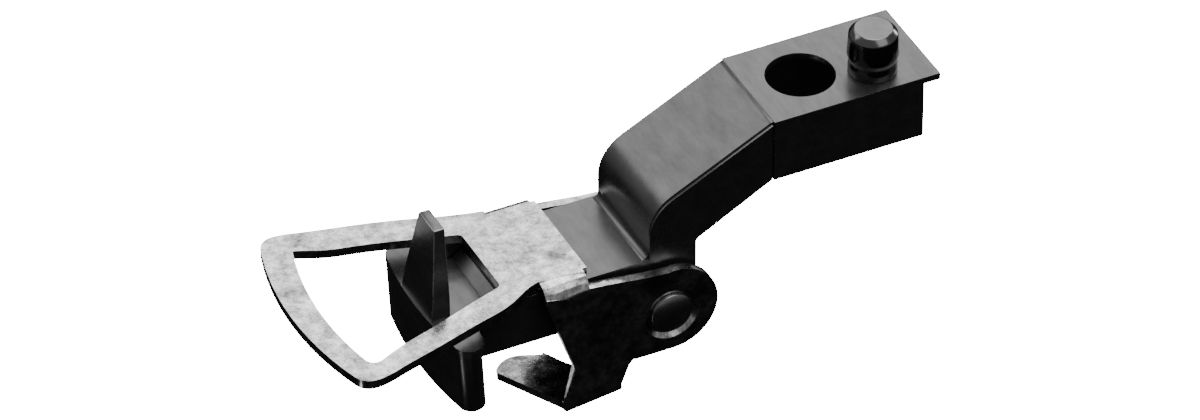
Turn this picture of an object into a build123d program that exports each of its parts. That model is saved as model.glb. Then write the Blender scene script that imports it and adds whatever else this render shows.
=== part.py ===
from build123d import *
import math
import os

# Gravity latch coupling: a bright loop (the bail) hangs on a rivet through a folded sheet frame, lies on the
# drawbar by its own weight, and drops over the hook of an identical coupling that faces it.
#
# Part frame, in millimetres: the origin is the centre of the swivel hole, on the mounting plate's top face.
# -X points to the loop's front bar, +Z is up, and the foot's leg is on the -Y side.
# Most sections are drawn about the pivot rivet's axis, and placed at PIVOT at the end.

# Driving dimensions
SHEET = 0.30                 # frame and head sheet
BAIL_SHEET = 0.40            # bail sheet
PIVOT = (-7.11, 0, -7.53)    # pivot rivet's axis in the part frame

FRAME_HALF = 2.34            # outer half-width of drawbar, cheeks and plate
PLATE_TOP = 7.53             # heights and lengths from here on are about the pivot axis
PLATE_END = 12.18
KNEE_X = 4.72
SLOPE = math.radians(26.5)
RISER_X = -0.71
WEB_TOP = 2.54
WEB_FRONT = -6.81
SWIVEL_R = 1.43
SWIVEL_X = -PIVOT[0]

FLANGE_END = 11.46
FLANGE_BOTTOM = 4.65
FAR_FLANGE_DROP = 0.30       # the far flange hangs lower by this much
SEAM = 0.08                  # gap between plate flange and cheek
CHEEK_LEDGE = 0.14           # cheek's top edge below the arm's face
ARM_INSET = 0.10             # arm's edge inside the cheek's outer face
SKIRT_FRONT = -8.07
SKIRT_BOTTOM = 0.21
CHEEK_REAR = 1.35
CHEEK_HEEL = 2.86            # where its slanted lower edge meets its upright rear edge
CHEEK_TAIL = 4.70            # height where it meets the plate flange
CHEEK_LOBE_R = 1.50
KNEE_R = 0.6                 # outer bend radii
CREST_R = 1.8
RISER_FOOT_R = 0.32
HEEL_R = 0.25

PEG_X = 9.87
PEG_Y = -0.92
PEG_HEIGHT = 2.05
PEG_R = 1.00
PEG_COLLAR = 0.05            # collar stands out, and the waist goes in, by this much
PEG_LEVELS = (0.35, 0.55, 0.85, 1.80)  # base's top, waist, ring and shoulder, above the plate
PEG_CROWN_R = 0.78
PEG_TENON_R = 0.45
PEG_CLINCH_R = 0.72
PEG_CLINCH = 0.12

HEAD_TOP = 1.88              # head floor in front of the joggle
HEAD_TAIL = -3.10
JOGGLE_REAR = -6.90
JOGGLE_FRONT = -7.35
TONGUE_HALF = 2.00           # head floor between the skirts
WING_HALF = 3.25             # wings cover the beads
WING_REAR = -8.42
NECK_X = -8.31
BUMPER_FRONT = -9.95
BUMPER_R = 18.0
BUMPER_BOTTOM = -1.27
BUMPER_LEAN = 3.3            # degrees, bottom edge further back
BUMPER_CHORD = 3.26          # half-width of the bowed part
BEAD_R = 0.55
BEAD_TURN = 165              # degrees that each end is rolled back
TRIM = 1.0                   # the leaning wall is made this much too tall, then cut level

HOOK_TIP_DEPTH = 0.47
HOOK_FOOT_DEPTH = 0.84
HOOK_FOOT_X = -9.83
HOOK_TIP_X = -9.36
HOOK_TIP = 5.80
HOOK_FOOT_HALF = 1.38
HOOK_WAIST_HALF = 1.30       # half-width where the taper begins, at the height below
HOOK_WAIST = 2.78
HOOK_TIP_HALF = 0.70
TENON_HALF = 0.70
TENON_FRONT = -9.61
TENON_REAR = -9.37
TENON_BOTTOM = 1.44

BAIL_TOP = 3.05
BAIL_HALF = 2.96
BAIL_REAR = -3.44
NEAR_FOLD_R = 0.72           # outer radii of the side folds: the far one is sharper
FAR_FOLD_R = 0.44
FAR_FLARE_START = 2.80       # half-width of the far side where it leaves its fold
SIDE_FRONT = -5.55
SIDE_REAR = -3.64
LUG_R = 1.96
LUG_RISE = 0.19              # the round end's centre above the pivot, and behind it
LUG_BACK = 0.07
LUG_HOLE_R = 0.64
DISH_R = 1.20
DISH_DEPTH = 0.16
DISH_FLOOR_R = 1.02
BOSS_R = 1.12                # the dish stands out on the inside, next to the cheek
LEG_BOTTOM = -3.72           # foot's underside at its front corner
FOOT_FRONT = -4.55
FOOT_LENGTH = 2.41           # along the fold, which rises to the rear by the angle below
FOOT_RISE = 7.0
FOOT_FOLD_R = 0.62

SHANK_R = 0.60
RIVET_HEAD_R = 0.90
RIVET_HEAD = 0.30            # head's height at its middle, and at its rim
RIVET_RIM = 0.14
HEAD_PLAY = 0.02             # gap between rivet head and lug
SLEEVE_R = 0.95

FLUSH_X = (-4.20, -5.90)     # the two flush rivets under the bail
FLUSH_R = 0.40
FLUSH_HEAD_R = 0.70
FLUSH_SINK = 0.15


def side_panel(outline, near, thickness):
    """Extrude an outline drawn in X and Z between y = near and y = near + thickness."""
    face = Plane.XZ.offset(-near) * make_face(outline)
    return extrude(face, -thickness)


def both_sides(panel):
    """The panel and its mirror image across the centre plane."""
    return panel + mirror(panel, Plane.XZ)


def strip(line, thickness, side, half_width):
    """Sheet that follows a line drawn in X and Z, centred on y = 0."""
    face = Plane.XZ * make_face(offset(line, thickness, side=side))
    return extrude(face, half_width, both=True)


def save(part, node):
    """Place a part that was drawn about the pivot, and write it."""
    placed = Pos(*PIVOT) * part
    solids = placed.solids()
    export_step(solids[0] if len(solids) == 1 else Compound(children=solids), f"parts/{node}.step")
    print(node, len(solids), round(sum(s.volume for s in solids), 3))


def drawbar_frame():
    """One stamping: mounting plate, arm, riser and web in a strip, with flanges, cheeks and skirts."""
    riser_top = PLATE_TOP - (KNEE_X - RISER_X) * math.tan(SLOPE)
    line = FilletPolyline(
        (PLATE_END, PLATE_TOP), (KNEE_X, PLATE_TOP), (RISER_X, riser_top), (RISER_X, WEB_TOP),
        (WEB_FRONT, WEB_TOP), radius=[KNEE_R, CREST_R, RISER_FOOT_R])
    frame = strip(line, SHEET, Side.LEFT, FRAME_HALF - ARM_INSET)

    flange = Polyline(
        (KNEE_X + SEAM, PLATE_TOP), (FLANGE_END, PLATE_TOP), (FLANGE_END, FLANGE_BOTTOM),
        (KNEE_X + SEAM, FLANGE_BOTTOM), close=True)
    frame += both_sides(side_panel(flange, -FRAME_HALF, SHEET))
    flange_length = FLANGE_END - KNEE_X - SEAM
    hem = Box(flange_length, SHEET, FAR_FLANGE_DROP)
    hem_side = FRAME_HALF - SHEET / 2
    frame += Pos(FLANGE_END - flange_length / 2, hem_side, FLANGE_BOTTOM - FAR_FLANGE_DROP / 2) * hem
    frame += cover(KNEE_X + SEAM, PLATE_END, PLATE_TOP)

    cheek = FilletPolyline(
        (KNEE_X, PLATE_TOP - CHEEK_LEDGE), (RISER_X, riser_top - CHEEK_LEDGE), (RISER_X, 0.0),
        (CHEEK_REAR, 0.0), (CHEEK_REAR, CHEEK_HEEL), (KNEE_X, CHEEK_TAIL),
        radius=[0, CREST_R, 0, 0, HEEL_R, 0], close=True)
    frame += both_sides(side_panel(cheek, -FRAME_HALF, SHEET))

    skirt = Polyline(
        (SKIRT_FRONT, WEB_TOP), (CHEEK_REAR, WEB_TOP), (CHEEK_REAR, SKIRT_BOTTOM),
        (SKIRT_FRONT, SKIRT_BOTTOM), close=True)
    frame += both_sides(side_panel(skirt, -FRAME_HALF, SHEET))
    frame += cover(WEB_FRONT, RISER_X, WEB_TOP)

    lobe = Plane.XZ.offset(FRAME_HALF - SHEET) * Circle(CHEEK_LOBE_R)
    frame += both_sides(extrude(lobe, SHEET))

    frame -= Rot(90, 0, 0) * Cylinder(SHANK_R, 4 * FRAME_HALF)
    frame -= Pos(SWIVEL_X, 0, PLATE_TOP) * Cylinder(SWIVEL_R, 4 * SHEET)
    frame -= Pos(PEG_X, PEG_Y, PLATE_TOP) * Cylinder(PEG_TENON_R, 4 * SHEET)
    for x in FLUSH_X:
        frame -= flush_rivet(x)
    return frame


def cover(front, rear, top):
    """Level stretch of the strip, as wide as the cheeks' outer faces."""
    return Pos((front + rear) / 2, 0, top - SHEET / 2) * Box(rear - front, 2 * FRAME_HALF, SHEET)


def flush_rivet(x):
    """Countersunk rivet through the web and the head plate's tail, flush on both faces."""
    bottom = WEB_TOP - 2 * SHEET
    sink = FLUSH_HEAD_R - FLUSH_R
    profile = Polyline(
        (0, bottom), (FLUSH_HEAD_R, bottom), (FLUSH_HEAD_R - sink, bottom + FLUSH_SINK),
        (FLUSH_R, WEB_TOP - FLUSH_SINK), (FLUSH_HEAD_R, WEB_TOP), (0, WEB_TOP), close=True)
    return Pos(x, 0, 0) * revolve(Plane.XZ * make_face(profile), Axis.Z)


def bumper_line():
    """Plan line of the bumper's outer face: a bowed front, and ends rolled back to beads."""
    bow = math.degrees(math.asin(BUMPER_CHORD / BUMPER_R))
    right = JernArc((BUMPER_FRONT, 0), (0, 1), BUMPER_R, -bow)
    bead = JernArc(right @ 1, right % 1, BEAD_R, -BEAD_TURN)
    return right, bead


def head_plate():
    """Floor with a tail under the web, a joggle, T wings, and the bumper bent down from its front."""
    right, bead = bumper_line()
    half = offset(Wire([right.edge(), bead.edge()]), SHEET, side=Side.RIGHT)
    section = make_face(half)
    tall = HEAD_TOP - BUMPER_BOTTOM
    wall = extrude(section, tall + TRIM)
    wall += mirror(wall, Plane.XZ)
    wall = Pos(BUMPER_FRONT, 0, HEAD_TOP) * Rot(0, -BUMPER_LEAN, 0) * Pos(-BUMPER_FRONT, 0, -tall) * wall
    wall -= Pos(BUMPER_FRONT, 0, HEAD_TOP + TRIM) * Box(8 * WING_HALF, 8 * WING_HALF, 2 * TRIM)

    bow_end = right @ 1
    bead_side = bead @ 0.45
    floor = make_face([
        Line((JOGGLE_FRONT, TONGUE_HALF), (NECK_X, TONGUE_HALF)),
        Line((NECK_X, TONGUE_HALF), (WING_REAR, WING_HALF)),
        ThreePointArc((WING_REAR, WING_HALF), (bead_side.X, bead_side.Y), (bow_end.X, bow_end.Y)),
        ThreePointArc((bow_end.X, bow_end.Y), (BUMPER_FRONT, 0), (bow_end.X, -bow_end.Y)),
        ThreePointArc((bow_end.X, -bow_end.Y), (bead_side.X, -bead_side.Y), (WING_REAR, -WING_HALF)),
        Line((WING_REAR, -WING_HALF), (NECK_X, -TONGUE_HALF)),
        Line((NECK_X, -TONGUE_HALF), (JOGGLE_FRONT, -TONGUE_HALF)),
        Line((JOGGLE_FRONT, -TONGUE_HALF), (JOGGLE_FRONT, TONGUE_HALF)),
    ])
    plate = extrude(Pos(0, 0, HEAD_TOP - SHEET) * floor, SHEET)

    tail_top = WEB_TOP - SHEET
    tail = Polyline(
        (HEAD_TAIL, tail_top), (JOGGLE_REAR, tail_top), (JOGGLE_FRONT, HEAD_TOP),
        (JOGGLE_FRONT, HEAD_TOP - SHEET), (JOGGLE_REAR, tail_top - SHEET), (HEAD_TAIL, tail_top - SHEET),
        close=True)
    plate += extrude(Plane.XZ * make_face(tail), TONGUE_HALF, both=True)
    plate += wall
    plate -= tenon()
    for x in FLUSH_X:
        plate -= flush_rivet(x)
    return plate


def tenon():
    """The hook's tongue through the floor, peened below it."""
    return Pos((TENON_FRONT + TENON_REAR) / 2, 0, (HEAD_TOP + TENON_BOTTOM) / 2) * Box(
        TENON_REAR - TENON_FRONT, 2 * TENON_HALF, HEAD_TOP - TENON_BOTTOM)


def coupling_hook():
    """Tongue that leans back over the floor and tapers both ways."""
    side = Polyline(
        (HOOK_FOOT_X, HEAD_TOP), (HOOK_TIP_X, HOOK_TIP), (HOOK_TIP_X + HOOK_TIP_DEPTH, HOOK_TIP),
        (HOOK_FOOT_X + HOOK_FOOT_DEPTH, HEAD_TOP), close=True)
    hook = extrude(Plane.XZ * make_face(side), HOOK_FOOT_HALF, both=True)
    front = Polyline(
        (-HOOK_FOOT_HALF, HEAD_TOP), (-HOOK_WAIST_HALF, HOOK_WAIST), (-HOOK_TIP_HALF, HOOK_TIP),
        (HOOK_TIP_HALF, HOOK_TIP), (HOOK_WAIST_HALF, HOOK_WAIST), (HOOK_FOOT_HALF, HEAD_TOP), close=True)
    hook &= Pos(HOOK_FOOT_X - 1, 0, 0) * extrude(Plane.YZ * make_face(front), 4)
    return hook + tenon()


def loop_outline():
    """Plan outline of the bail's loop: a neck at the lugs, flared sides, and a bowed front bar."""
    cheek = (-13.61, 4.97)
    corner = (-14.55, 4.46)
    bow = ThreePointArc(corner, (-15.24, 0), (corner[0], -corner[1]))
    far_start = BAIL_HALF - FAR_FOLD_R
    near_start = BAIL_HALF - NEAR_FOLD_R
    rear = Line((BAIL_REAR, -near_start), (BAIL_REAR, far_start))
    far_flare = [(-6.90, 3.13), (-8.66, 3.71), (-10.82, 4.31), (-12.70, 4.76)]
    near_flare = [(-7.00, 2.97), (-8.74, 3.55), (-10.87, 4.20), (-12.70, 4.73)]
    far = loop_side(far_start, FAR_FLARE_START, far_flare, cheek, corner)
    near = loop_side(near_start, near_start, near_flare, cheek, corner)
    return make_face([*far, bow, *[mirror(edge, Plane.XZ) for edge in near], rear])


def loop_side(fold_start, flare_start, points, cheek, corner):
    """One side of the loop's outline: along the fold, out to the cheek, and round to the front corner."""
    straight = [Line((BAIL_REAR, fold_start), (SIDE_FRONT, fold_start))]
    if flare_start > fold_start:
        straight.append(Line((SIDE_FRONT, fold_start), (SIDE_FRONT, flare_start)))
    flare = Spline((SIDE_FRONT, flare_start), *points, cheek, tangents=[(-1, 0.20), (-1, 0.12)])
    round_corner = Spline(cheek, (-14.16, 4.91), corner, tangents=[(-1, 0.12), (-0.35, -1)])
    return [*straight, flare, round_corner]


def loop_window():
    """Plan of the opening inside the loop: its far bar is a little wider than its near bar."""
    rear_corner = (-7.00, 1.82)
    far_corner = (-13.46, 3.78)
    near_corner = (-13.63, 4.10)
    far = Spline(
        rear_corner, (-8.95, 2.40), (-10.92, 2.96), (-12.62, 3.42), far_corner,
        tangents=[(-1, 0.28), (-1, 0.24)])
    near = Spline(
        rear_corner, (-8.95, 2.44), (-10.86, 3.10), (-12.55, 3.66), near_corner,
        tangents=[(-1, 0.28), (-1, 0.24)])
    bow = ThreePointArc(far_corner, (-14.10, -0.30), (near_corner[0], -near_corner[1]))
    rear = Line((rear_corner[0], -rear_corner[1]), rear_corner)
    window = make_face([far, bow, mirror(near, Plane.XZ), rear])
    rear_ends = window.vertices().group_by(Axis.X)[-1]
    front_ends = window.vertices().group_by(Axis.X)[0]
    return fillet(front_ends, 0.42) & fillet(rear_ends, 0.26)


def lug_outline(fold_radius):
    """Side view of a lug, from the loop's side fold to the round end about the pivot."""
    fold_edge = BAIL_TOP - fold_radius
    bottom = LUG_RISE - LUG_R
    arm = make_face(Polyline(
        (SIDE_FRONT, fold_edge), (SIDE_REAR, fold_edge), (SIDE_REAR, 2.55), (-2.72, 2.44), (-1.20, 2.22),
        (LUG_BACK - 0.27, LUG_RISE + LUG_R - 0.02), (0, 0), (LUG_BACK, bottom), (-1.60, bottom),
        (-4.50, -0.72), close=True))
    return arm + Pos(LUG_BACK, LUG_RISE) * Circle(LUG_R)


def foot_frame():
    """The foot's own frame: origin at its front corner's underside, X along the fold."""
    return Pos(FOOT_FRONT, 0, LEG_BOTTOM) * Rot(0, -FOOT_RISE, 0)


def leg_outline():
    """Side view of the release leg below the near lug, down to where the foot's fold begins."""
    front, rear = [(foot_frame() * Pos(x, 0, FOOT_FOLD_R)).position for x in (0, FOOT_LENGTH)]
    return make_face(Polyline(
        (-5.52, 2.56), (-4.48, -0.72), (-4.26, -1.40), (front.X, front.Z), (rear.X, rear.Z),
        (-1.90, -1.95), (-1.40, -1.40), (-1.0, 0), (-3.0, 2.0), close=True))


def foot_outline():
    """Plan of the foot in its own frame, bent inward from the leg, from its fold to its rounded nose."""
    inner = FOOT_FOLD_R - BAIL_HALF
    nose_start = (-1.45, 0.62)
    nose_end = (1.12, -0.28)
    front = Line((0, inner), nose_start)
    nose = Spline(
        nose_start, (-1.30, 0.92), (-0.42, 1.14), (0.58, 0.64), nose_end,
        tangents=[(-0.35, 0.90), (0.42, -0.90)])
    back = Line(nose_end, (FOOT_LENGTH, inner))
    edge = Line((FOOT_LENGTH, inner), (0, inner))
    return make_face([front, nose, back, edge])


def quarter_fold(radius, front, rear):
    """Bail sheet folded a quarter turn, along X: outer radius at the origin's upper near side."""
    ring = Circle(radius) - Circle(radius - BAIL_SHEET)
    quarter = ring & Pos(-radius / 2, radius / 2) * Rectangle(radius, radius)
    return Pos(front, 0, 0) * extrude(Plane.YZ * quarter, rear - front)


def bail():
    """One plated stamping: loop, two dished lugs, and the leg with its foot on the near side."""
    loop = extrude(Pos(0, 0, BAIL_TOP - BAIL_SHEET) * (loop_outline() - loop_window()), BAIL_SHEET)
    foot_fold = Pos(0, FOOT_FOLD_R - BAIL_HALF, FOOT_FOLD_R) * mirror(
        quarter_fold(FOOT_FOLD_R, 0, FOOT_LENGTH), Plane.XY)
    foot = foot_frame() * (extrude(foot_outline(), BAIL_SHEET) + foot_fold)
    body = loop + lug(NEAR_FOLD_R) + mirror(lug(FAR_FOLD_R), Plane.XZ) + lug_panel(leg_outline()) + foot
    body -= Rot(90, 0, 0) * Cylinder(LUG_HOLE_R, 4 * BAIL_HALF)
    return body - both_sides(dish())


def lug(fold_radius):
    """Near lug with its boss, and the fold that joins it to the loop."""
    centre = Pos(0, fold_radius - BAIL_HALF, BAIL_TOP - fold_radius)
    fold = centre * quarter_fold(fold_radius, SIDE_FRONT, SIDE_REAR)
    return lug_panel(lug_outline(fold_radius)) + fold + boss()


def boss():
    """The dish's inner face, raised from the near lug."""
    face = Plane.XZ.offset(BAIL_HALF - BAIL_SHEET - DISH_DEPTH) * Circle(BOSS_R)
    return extrude(face, DISH_DEPTH + BAIL_SHEET / 2)


def dish():
    """The hollow around the rivet head in the near lug, as a cutter with a sloping wall."""
    cone = Cone(DISH_FLOOR_R, DISH_R, DISH_DEPTH, align=(Align.CENTER, Align.CENTER, Align.MIN))
    above = Pos(0, 0, DISH_DEPTH) * Cylinder(DISH_R, 1, align=(Align.CENTER, Align.CENTER, Align.MIN))
    return Pos(0, DISH_DEPTH - BAIL_HALF, 0) * Rot(90, 0, 0) * (cone + above)


def lug_panel(outline):
    """Panel of bail sheet on the near side."""
    return extrude(Plane.XZ.offset(BAIL_HALF - BAIL_SHEET) * outline, BAIL_SHEET)


def pivot_rivet():
    """Shank through both cheeks and both lugs, with a domed head outside each lug."""
    seat = BAIL_HALF - DISH_DEPTH + HEAD_PLAY
    rim = seat + RIVET_RIM
    top = seat + RIVET_HEAD
    dome = (RIVET_HEAD_R ** 2 + (top - rim) ** 2) / (2 * (top - rim))
    shank = Cylinder(SHANK_R, 2 * seat)
    head = Pos(0, 0, seat + RIVET_HEAD / 2) * Cylinder(RIVET_HEAD_R, RIVET_HEAD)
    head &= Pos(0, 0, top - dome) * Sphere(dome)
    return Rot(90, 0, 0) * (shank + head + mirror(head, Plane.XY))


def spacer_sleeve():
    """Tube on the shank between the cheeks."""
    length = 2 * (FRAME_HALF - SHEET)
    return Rot(90, 0, 0) * (Cylinder(SLEEVE_R, length) - Cylinder(SHANK_R, length))


def guide_peg():
    """Turned peg on the mounting plate: base, collar, waist and chamfered top, clinched below the plate."""
    under = PLATE_TOP - SHEET
    collar = PEG_R + PEG_COLLAR
    waist = PEG_R - PEG_COLLAR
    base_top, waist_z, ring_z, shoulder = (PLATE_TOP + height for height in PEG_LEVELS)
    top = PLATE_TOP + PEG_HEIGHT
    profile = make_face(Polyline(
        (0, under - PEG_CLINCH), (PEG_CLINCH_R, under - PEG_CLINCH), (PEG_CLINCH_R, under),
        (PEG_TENON_R, under), (PEG_TENON_R, PLATE_TOP), (PEG_R, PLATE_TOP), (PEG_R, base_top),
        (waist, waist_z), (collar, ring_z), (PEG_R, shoulder), (PEG_CROWN_R, top), (0, top), close=True))
    return Pos(PEG_X, PEG_Y, 0) * revolve(Plane.XZ * profile, Axis.Z)


os.makedirs("parts", exist_ok=True)
save(drawbar_frame(), "drawbar_frame")
save(head_plate(), "head_plate")
save(coupling_hook(), "coupling_hook")
save(bail(), "bail")
save(pivot_rivet(), "pivot_rivet")
save(spacer_sleeve(), "spacer_sleeve")
save(guide_peg(), "guide_peg")
save(Part() + [flush_rivet(x) for x in FLUSH_X], "head_rivets")
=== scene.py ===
import bpy
import math
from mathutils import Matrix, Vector


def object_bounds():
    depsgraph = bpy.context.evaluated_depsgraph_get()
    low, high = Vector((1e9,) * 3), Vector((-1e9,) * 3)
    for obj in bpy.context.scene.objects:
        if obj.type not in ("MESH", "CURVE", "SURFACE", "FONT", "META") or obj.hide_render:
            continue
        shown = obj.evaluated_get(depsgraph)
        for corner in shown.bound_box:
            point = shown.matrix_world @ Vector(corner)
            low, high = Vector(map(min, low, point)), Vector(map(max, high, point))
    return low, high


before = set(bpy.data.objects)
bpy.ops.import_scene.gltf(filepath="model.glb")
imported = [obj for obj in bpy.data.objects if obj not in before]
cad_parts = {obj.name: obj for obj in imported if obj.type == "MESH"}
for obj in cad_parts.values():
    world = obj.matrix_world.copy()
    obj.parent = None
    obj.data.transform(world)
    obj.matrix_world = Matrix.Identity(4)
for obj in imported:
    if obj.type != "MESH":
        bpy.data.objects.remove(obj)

# Loop-and-hook coupling, seen from its foot's side. Sizes are in metres, in the part's frame.
MM = 0.001
cad_low, cad_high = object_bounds()

# Camera: a long lens at the photograph's viewing angle.
CAMERA_AZIMUTH = math.radians(-26.1)
CAMERA_ELEVATION = math.radians(38.25)
CAMERA_DISTANCE = 0.38
CAMERA_TARGET = Vector((-7.85, 2.07, -5.59)) * MM
CAMERA_NEAREST, CAMERA_FURTHEST = 0.01, 20
FRAME_WIDTH = 48 * MM        # what the picture's width takes in at the target
SENSOR = 36.0                # in millimetres, as Blender has it

# Stage: a white sweep, and a world that is dark underneath and lit from the horizon up.
WHITE = 25.0                 # radiance of the white sweep
FLOOR_SIZE = 6
WORLD_BELOW, WORLD_ABOVE = 0.010, 0.34
WORLD_DARK_BELOW = -0.22     # sines of the elevations between which the world's light comes up
WORLD_BRIGHT_ABOVE = 0.12

# Softboxes that face the object from one distance. Angles are in degrees.
SOFTBOX_DISTANCE = 0.6
SOFTBOXES = (                # name, azimuth, elevation, width, height, radiance
    ("top", 120, 76, 0.50, 0.50, 4.0),
    ("rear", 135, 34, 0.56, 0.28, 2.6),
    ("slope", 216, 40, 0.52, 0.28, 2.2),
    ("front", 25, 46, 0.40, 0.40, 1.7),
    ("side", 108, 2, 0.10, 0.16, 9.0),
    ("card", -78, -34, 0.05, 0.22, 5.0),
)

# Edges of the CAD parts.
WELD_GAP = 0.0005 * MM       # points nearer to each other than this are one
FLAT_ANGLE = math.radians(1)     # faces that turn less than this become one
EDGE_ANGLE = math.radians(32)    # edges that turn more than this are rounded
EDGE_STEPS = 2

ROUGHNESS_FROM, ROUGHNESS_TO = 0.3, 0.75     # noise values between which the roughness comes up


# --- Camera, light and stage ---------------------------------------------------------------------------
def direction(azimuth, elevation):
    """Unit vector from the object; azimuth 0 is -Y and 90 degrees is +X, in radians."""
    return Vector((math.sin(azimuth) * math.cos(elevation), -math.cos(azimuth) * math.cos(elevation),
                   math.sin(elevation)))


def add_camera():
    """Camera that looks at the target, with the whole object in view."""
    data = bpy.data.cameras.new("camera")
    data.sensor_width = SENSOR
    data.lens = SENSOR * CAMERA_DISTANCE / FRAME_WIDTH
    data.clip_start, data.clip_end = CAMERA_NEAREST, CAMERA_FURTHEST
    camera = bpy.data.objects.new("camera", data)
    back = direction(CAMERA_AZIMUTH, CAMERA_ELEVATION)
    camera.location = CAMERA_TARGET + back * CAMERA_DISTANCE
    camera.rotation_euler = (-back).to_track_quat("-Z", "Y").to_euler()
    bpy.context.scene.collection.objects.link(camera)
    bpy.context.scene.camera = camera


def add_softbox(name, azimuth, elevation, width, height, radiance):
    """Rectangular area light that faces the object. Its power gives the stated radiance."""
    data = bpy.data.lights.new(name, "AREA")
    data.shape = "RECTANGLE"
    data.size, data.size_y = width, height
    data.energy = radiance * math.pi * width * height
    light = bpy.data.objects.new(name, data)
    out = direction(math.radians(azimuth), math.radians(elevation))
    light.location = CAMERA_TARGET + out * SOFTBOX_DISTANCE
    light.rotation_euler = out.to_track_quat("Z", "Y").to_euler()
    bpy.context.scene.collection.objects.link(light)


def add_world():
    """Soft light from the horizon up, nearly none from underneath, and a backdrop for the camera alone."""
    world = bpy.data.worlds.new("studio")
    world.use_nodes = True
    tree = world.node_tree
    light = tree.nodes["Background"]
    coords = tree.nodes.new("ShaderNodeTexCoord")
    split = tree.nodes.new("ShaderNodeSeparateXYZ")
    height = tree.nodes.new("ShaderNodeMapRange")
    height.interpolation_type = "SMOOTHSTEP"
    height.inputs["From Min"].default_value = WORLD_DARK_BELOW
    height.inputs["From Max"].default_value = WORLD_BRIGHT_ABOVE
    height.inputs["To Min"].default_value = WORLD_BELOW
    height.inputs["To Max"].default_value = WORLD_ABOVE
    tree.links.new(coords.outputs["Generated"], split.inputs[0])
    tree.links.new(split.outputs["Z"], height.inputs["Value"])
    tree.links.new(height.outputs["Result"], light.inputs["Strength"])
    light.inputs["Color"].default_value = (1, 1, 1, 1)
    backdrop = tree.nodes.new("ShaderNodeBackground")
    backdrop.inputs["Color"].default_value = (1, 1, 1, 1)
    backdrop.inputs["Strength"].default_value = WHITE
    path = tree.nodes.new("ShaderNodeLightPath")
    mix = tree.nodes.new("ShaderNodeMixShader")
    tree.links.new(path.outputs["Is Camera Ray"], mix.inputs[0])
    tree.links.new(light.outputs[0], mix.inputs[1])
    tree.links.new(backdrop.outputs[0], mix.inputs[2])
    tree.links.new(mix.outputs[0], tree.nodes["World Output"].inputs["Surface"])
    bpy.context.scene.world = world


def add_floor(level):
    """White sweep, clear from underneath. It lights nothing, so no shadow or reflection of it shows."""
    mat = bpy.data.materials.new("floor")
    mat.use_nodes = True
    tree = mat.node_tree
    tree.nodes.clear()
    out = tree.nodes.new("ShaderNodeOutputMaterial")
    emit = tree.nodes.new("ShaderNodeEmission")
    emit.inputs["Strength"].default_value = WHITE
    clear = tree.nodes.new("ShaderNodeBsdfTransparent")
    side = tree.nodes.new("ShaderNodeNewGeometry")
    mix = tree.nodes.new("ShaderNodeMixShader")
    tree.links.new(side.outputs["Backfacing"], mix.inputs[0])
    tree.links.new(emit.outputs[0], mix.inputs[1])
    tree.links.new(clear.outputs[0], mix.inputs[2])
    tree.links.new(mix.outputs[0], out.inputs["Surface"])
    bpy.ops.mesh.primitive_plane_add(size=FLOOR_SIZE, location=(0, 0, level))
    floor = bpy.context.object
    floor.name = "floor"
    floor.data.materials.append(mat)
    floor.visible_glossy = False
    floor.visible_diffuse = False
    floor.visible_shadow = False


# --- Materials -----------------------------------------------------------------------------------------
def new_metal(name, metallic=1.0):
    """Metal material, with its node tree and its shader."""
    mat = bpy.data.materials.new(name)
    mat.use_nodes = True
    bsdf = mat.node_tree.nodes["Principled BSDF"]
    bsdf.inputs["Metallic"].default_value = metallic
    return mat, mat.node_tree, bsdf


def noise(tree, scale, detail, stretch=(1, 1, 1), rough=0.55):
    """Noise in the part's own space; scale is in features per metre."""
    coords = tree.nodes.new("ShaderNodeTexCoord")
    mapping = tree.nodes.new("ShaderNodeMapping")
    mapping.inputs["Scale"].default_value = stretch
    tex = tree.nodes.new("ShaderNodeTexNoise")
    tex.inputs["Scale"].default_value = scale
    tex.inputs["Detail"].default_value = detail
    tex.inputs["Roughness"].default_value = rough
    tree.links.new(coords.outputs["Object"], mapping.inputs["Vector"])
    tree.links.new(mapping.outputs[0], tex.inputs["Vector"])
    return tex.outputs["Fac"]


def ramp(tree, source, stops):
    """Colour ramp with (position, grey value) stops."""
    node = tree.nodes.new("ShaderNodeValToRGB")
    for i, (at, grey) in enumerate(stops):
        stop = node.color_ramp.elements[i] if i < 2 else node.color_ramp.elements.new(at)
        stop.position = at
        stop.color = (grey, grey, grey, 1)
    tree.links.new(source, node.inputs[0])
    return node.outputs[0]


def set_roughness(tree, bsdf, source, smooth, rough):
    """Roughness that goes from smooth to rough as the noise comes up."""
    stops = [(ROUGHNESS_FROM, smooth), (ROUGHNESS_TO, rough)]
    tree.links.new(ramp(tree, source, stops), bsdf.inputs["Roughness"])


def set_relief(tree, bsdf, source, height):
    """Fine relief of the stated height, as bump."""
    node = tree.nodes.new("ShaderNodeBump")
    node.inputs["Distance"].default_value = height
    tree.links.new(source, node.inputs["Height"])
    tree.links.new(node.outputs[0], bsdf.inputs["Normal"])


def enamel(name, dark, light):
    """Blackened sheet, with streaks across the part."""
    mat, tree, bsdf = new_metal(name, metallic=0.92)
    streaks = noise(tree, 420, 8, stretch=(4, 1, 4), rough=0.7)
    tree.links.new(ramp(tree, streaks, [(0.34, dark), (0.66, light)]), bsdf.inputs["Base Color"])
    set_roughness(tree, bsdf, noise(tree, 900, 6), 0.27, 0.36)
    set_relief(tree, bsdf, noise(tree, 2600, 3), 0.004 * MM)
    return mat


def turned_black(name):
    """Blackened turned metal, smoother than the sheet."""
    mat, tree, bsdf = new_metal(name)
    tree.links.new(ramp(tree, noise(tree, 900, 5), [(0.30, 0.11), (0.72, 0.15)]), bsdf.inputs["Base Color"])
    set_roughness(tree, bsdf, noise(tree, 1300, 5), 0.15, 0.24)
    set_relief(tree, bsdf, noise(tree, 3000, 3), 0.003 * MM)
    return mat


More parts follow.
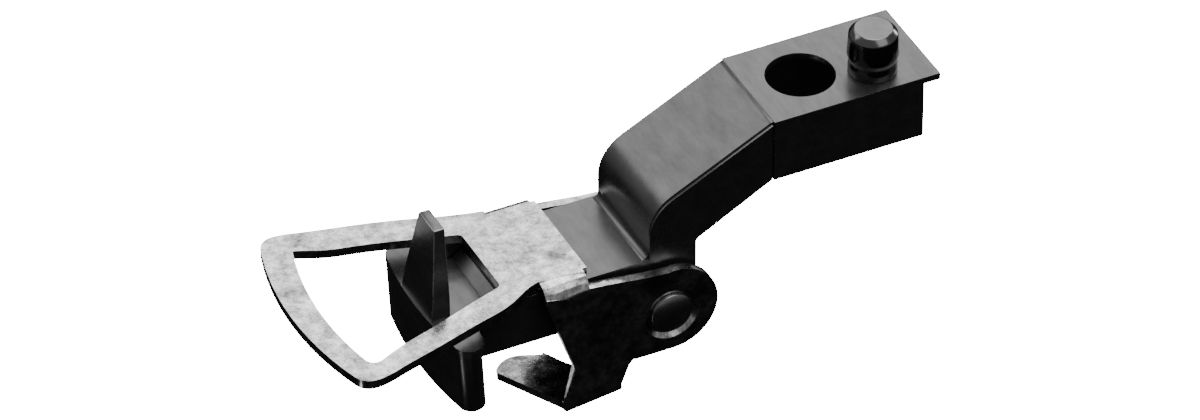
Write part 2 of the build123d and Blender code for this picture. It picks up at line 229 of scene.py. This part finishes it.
def plating(name, smooth, rough):
    """Bright mottled plating: a fine grain, darkened by larger smudges."""
    mat, tree, bsdf = new_metal(name)
    grain = ramp(tree, noise(tree, 1900, 9, rough=0.82), [(0.36, 0.13), (0.50, 0.44), (0.62, 0.80)])
    smudge = ramp(tree, noise(tree, 420, 4), [(0.30, 0.40), (0.46, 1.0), (0.70, 0.88)])
    mix = tree.nodes.new("ShaderNodeMix")
    mix.data_type = "RGBA"
    mix.blend_type = "MULTIPLY"
    mix.inputs["Factor"].default_value = 1.0
    tree.links.new(grain, mix.inputs["A"])
    tree.links.new(smudge, mix.inputs["B"])
    tree.links.new(mix.outputs["Result"], bsdf.inputs["Base Color"])
    set_roughness(tree, bsdf, noise(tree, 1500, 6), smooth, rough)
    set_relief(tree, bsdf, noise(tree, 3600, 6), 0.006 * MM)
    return mat


def steel(name, grey, rough):
    """Plain steel, a little uneven about the stated grey and roughness."""
    mat, tree, bsdf = new_metal(name)
    greys = [(0.3, grey * 0.8), (0.75, grey * 1.1)]
    tree.links.new(ramp(tree, noise(tree, 1500, 5), greys), bsdf.inputs["Base Color"])
    set_roughness(tree, bsdf, noise(tree, 1100, 6), rough * 0.8, rough * 1.3)
    set_relief(tree, bsdf, noise(tree, 3000, 4), 0.003 * MM)
    return mat


# --- Pieces --------------------------------------------------------------------------------------------
def smooth_shading():
    """Modifier group that shades all faces smoothly, so that the CAD mesh itself stays as it is."""
    group = bpy.data.node_groups.new("smooth_shading", "GeometryNodeTree")
    for in_out in ("INPUT", "OUTPUT"):
        group.interface.new_socket("Geometry", in_out=in_out, socket_type="NodeSocketGeometry")
    given = group.nodes.new("NodeGroupInput")
    shade = group.nodes.new("GeometryNodeSetShadeSmooth")
    result = group.nodes.new("NodeGroupOutput")
    group.links.new(given.outputs["Geometry"], shade.inputs["Geometry"])
    group.links.new(shade.outputs["Geometry"], result.inputs["Geometry"])
    return group


smooth_faces = smooth_shading()


def finish_part(node, mat, edge, width):
    """Soft edges for a CAD part: its flat faces are merged, then its sharp edges are rounded."""
    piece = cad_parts[node]
    piece.data.materials.clear()
    piece.data.materials.append(mat)
    piece.data.materials.append(edge)
    piece.modifiers.new("smooth", "NODES").node_group = smooth_faces
    piece.modifiers.new("weld", "WELD").merge_threshold = WELD_GAP
    flat = piece.modifiers.new("flat", "DECIMATE")
    flat.decimate_type = "DISSOLVE"
    flat.angle_limit = FLAT_ANGLE
    round_edges = piece.modifiers.new("round", "BEVEL")
    round_edges.width = width
    round_edges.segments = EDGE_STEPS
    round_edges.limit_method = "ANGLE"
    round_edges.angle_limit = EDGE_ANGLE
    # The rounded edges take the second material; on the black parts this is a painted edge highlight.
    round_edges.material = 1
    piece.modifiers.new("normals", "WEIGHTED_NORMAL").keep_sharp = True


add_camera()
add_world()
for softbox in SOFTBOXES:
    add_softbox(*softbox)
add_floor(cad_low.z)

black = enamel("black_enamel", 0.092, 0.130)
# A lighter copy of the enamel for the rounded edges of the black parts: a painted edge highlight.
edge_highlight = enamel("painted_edge_highlight_enamel", 0.16, 0.34)
gloss = turned_black("black_peg")
plated = plating("bright_plating", 0.11, 0.24)
rubbed = plating("rubbed_plating", 0.40, 0.60)
rivet = steel("rivet_steel", 0.3, 0.25)
plain = steel("plain_steel", 0.35, 0.35)

# Each CAD part's material, its edges' material and how wide its rounded edges are. On the black parts the
# edges' material is a lighter enamel: a painted edge highlight.
finish_part("drawbar_frame", black, edge_highlight, 0.03 * MM)
finish_part("head_plate", black, edge_highlight, 0.03 * MM)
finish_part("coupling_hook", black, edge_highlight, 0.04 * MM)
finish_part("bail", plated, rubbed, 0.06 * MM)
finish_part("pivot_rivet", rivet, rivet, 0.03 * MM)
finish_part("spacer_sleeve", plain, plain, 0.03 * MM)
finish_part("guide_peg", gloss, gloss, 0.04 * MM)
finish_part("head_rivets", plain, plain, 0.01 * MM)
